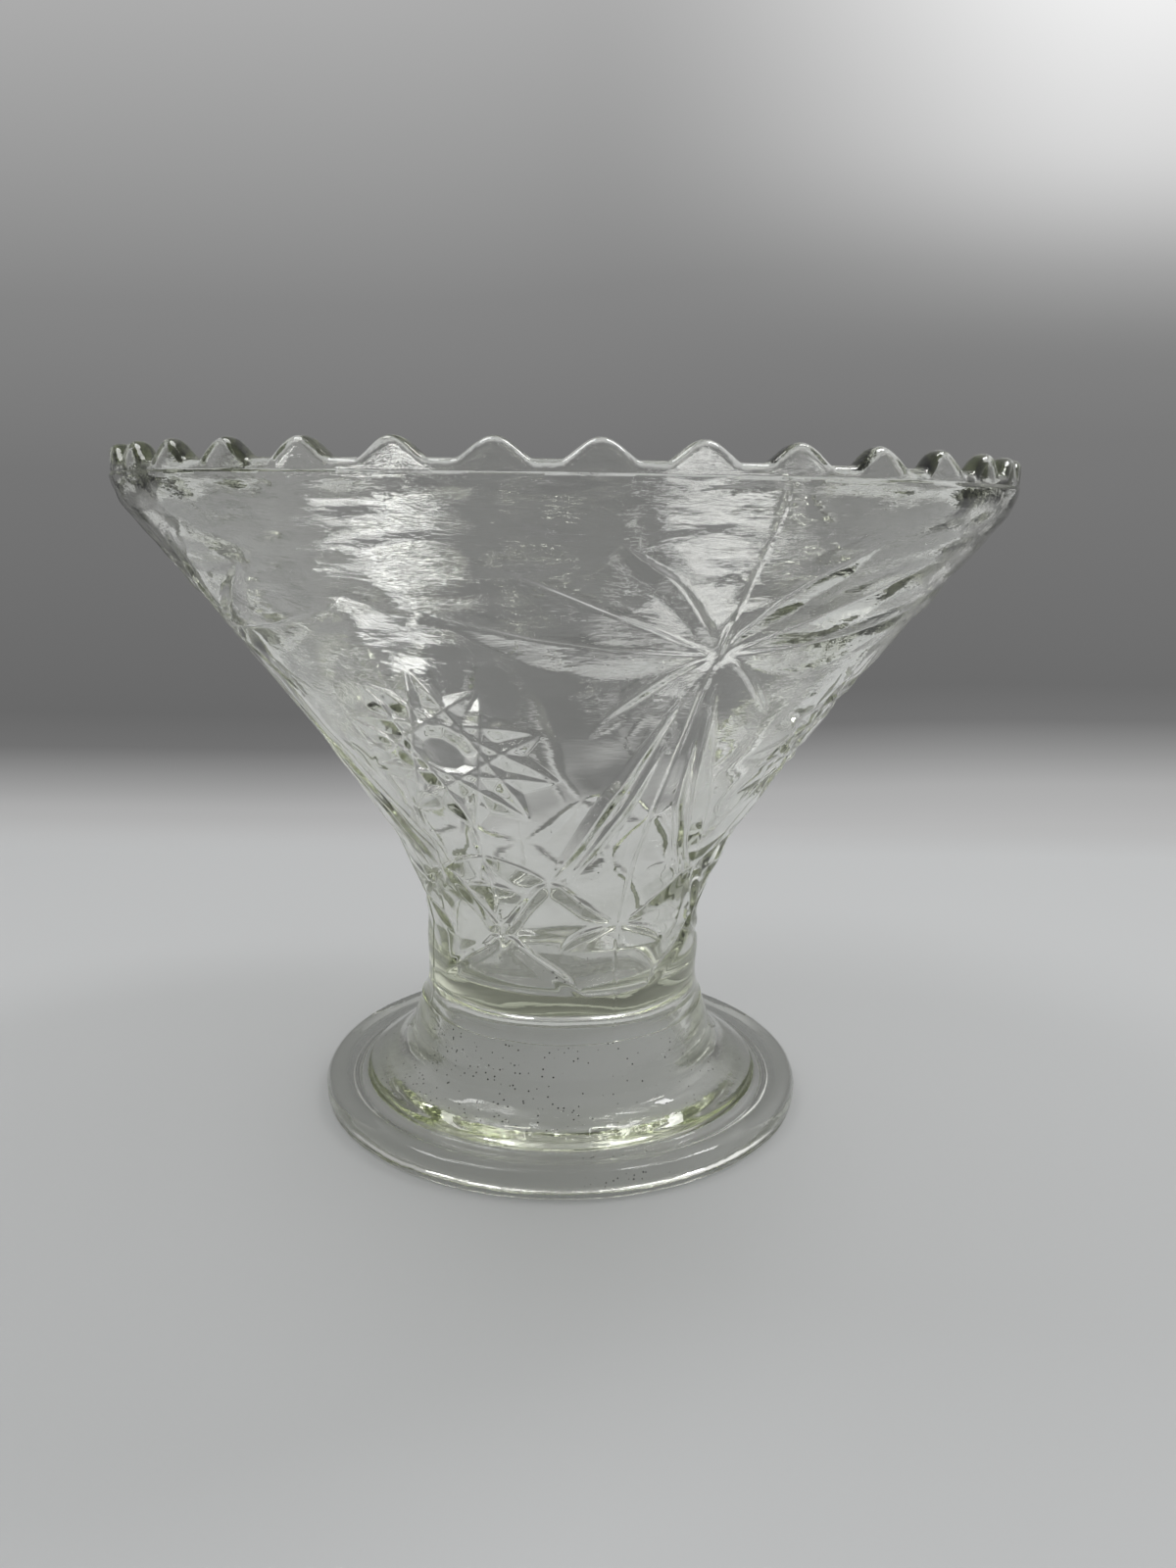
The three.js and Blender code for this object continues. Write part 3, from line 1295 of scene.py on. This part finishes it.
@dataclass(frozen=True)
class PhotoCamera:
    """The camera, where the photograph was taken from.

    Its turns are in degrees, and the lens and the film's height in the millimetres of a camera.
    """

    place: Place = (-1.77 * MM, -294.38 * MM, 145.26 * MM)
    yaw: float = 1.465
    down: float = 12.883
    roll: float = 0.915
    lens: float = 28.125
    film: float = 36.0

    def build(self) -> None:
        """Make the camera and use it."""
        yaw, down, roll = (math.radians(angle) for angle in (self.yaw, self.down, self.roll))
        ahead = Vector((math.sin(yaw) * math.cos(down), math.cos(yaw) * math.cos(down), -math.sin(down)))
        level = Vector((math.cos(yaw), -math.sin(yaw), 0))
        over = level.cross(ahead)
        right = level * math.cos(roll) + over * math.sin(roll)
        above = over * math.cos(roll) - level * math.sin(roll)
        data = bpy.data.cameras.new("photo_camera")
        data.sensor_fit = "VERTICAL"
        data.sensor_height = self.film
        data.lens = self.lens
        data.clip_start = 0.01
        camera = bpy.data.objects.new("photo_camera", data)
        turn = Matrix((right, above, -ahead)).transposed().to_4x4()
        camera.matrix_world = Matrix.Translation(self.place) @ turn
        bpy.context.scene.collection.objects.link(camera)
        bpy.context.scene.camera = camera


@dataclass(frozen=True)
class Studio:
    """Floor, backdrop, lamps, world and camera."""

    camera: PhotoCamera = PhotoCamera()
    sweep: Sweep = Sweep()
    lamps: tuple[SoftBox, ...] = (
        SoftBox("left_ceiling_light", place=(-0.41, 0.10, 0.95), size=(0.42, 0.38), watts=3.0),
        SoftBox("right_ceiling_light", place=(0.44, 0.21, 0.95), size=(0.22, 0.40), watts=3.1),
    )
    room_colour: Colour = (0.5, 0.505, 0.51, 1.0)
    room_light: float = 0.8
    room_slope: float = 0.45

    def build(self) -> None:
        """Make everything round the bowl."""
        for part in (self.camera, self.sweep, *self.lamps):
            part.build()
        self.world()
        self.picture()

    def world(self) -> None:
        """Plain grey surroundings, lighter on the right."""
        world = bpy.data.worlds.new("studio_room")
        bpy.context.scene.world = world
        world.use_nodes = True
        graph = Graph(world.node_tree)
        direction = graph.node("ShaderNodeTexCoord").outputs["Generated"]
        right = graph.value("ShaderNodeSeparateXYZ", "X", None, {"Vector": direction})
        light = self.room_light + right * self.room_slope
        room = graph.node("ShaderNodeBackground", None, {"Color": self.room_colour, "Strength": light})
        graph.output("ShaderNodeOutputWorld", room)

    @staticmethod
    def picture() -> None:
        """Plain colours, and enough bounces for light to cross every wall of glass."""
        scene = bpy.context.scene
        scene.view_settings.view_transform = "Standard"
        cycles = scene.cycles
        cycles.max_bounces = 24
        cycles.transmission_bounces = 24
        cycles.transparent_max_bounces = 32
        cycles.glossy_bounces = 12
        cycles.caustics_reflective = False
        cycles.caustics_refractive = False


def main() -> None:
    """Build the two sections of glass and the studio."""
    logging.basicConfig(level=logging.INFO, format="%(name)s: %(message)s")
    glass = PressedGlass().make()
    for section in (BowlSection(), FootSection()):
        section.dress(section.build(), glass)
    Studio().build()


if __name__ == "__main__":
    main()
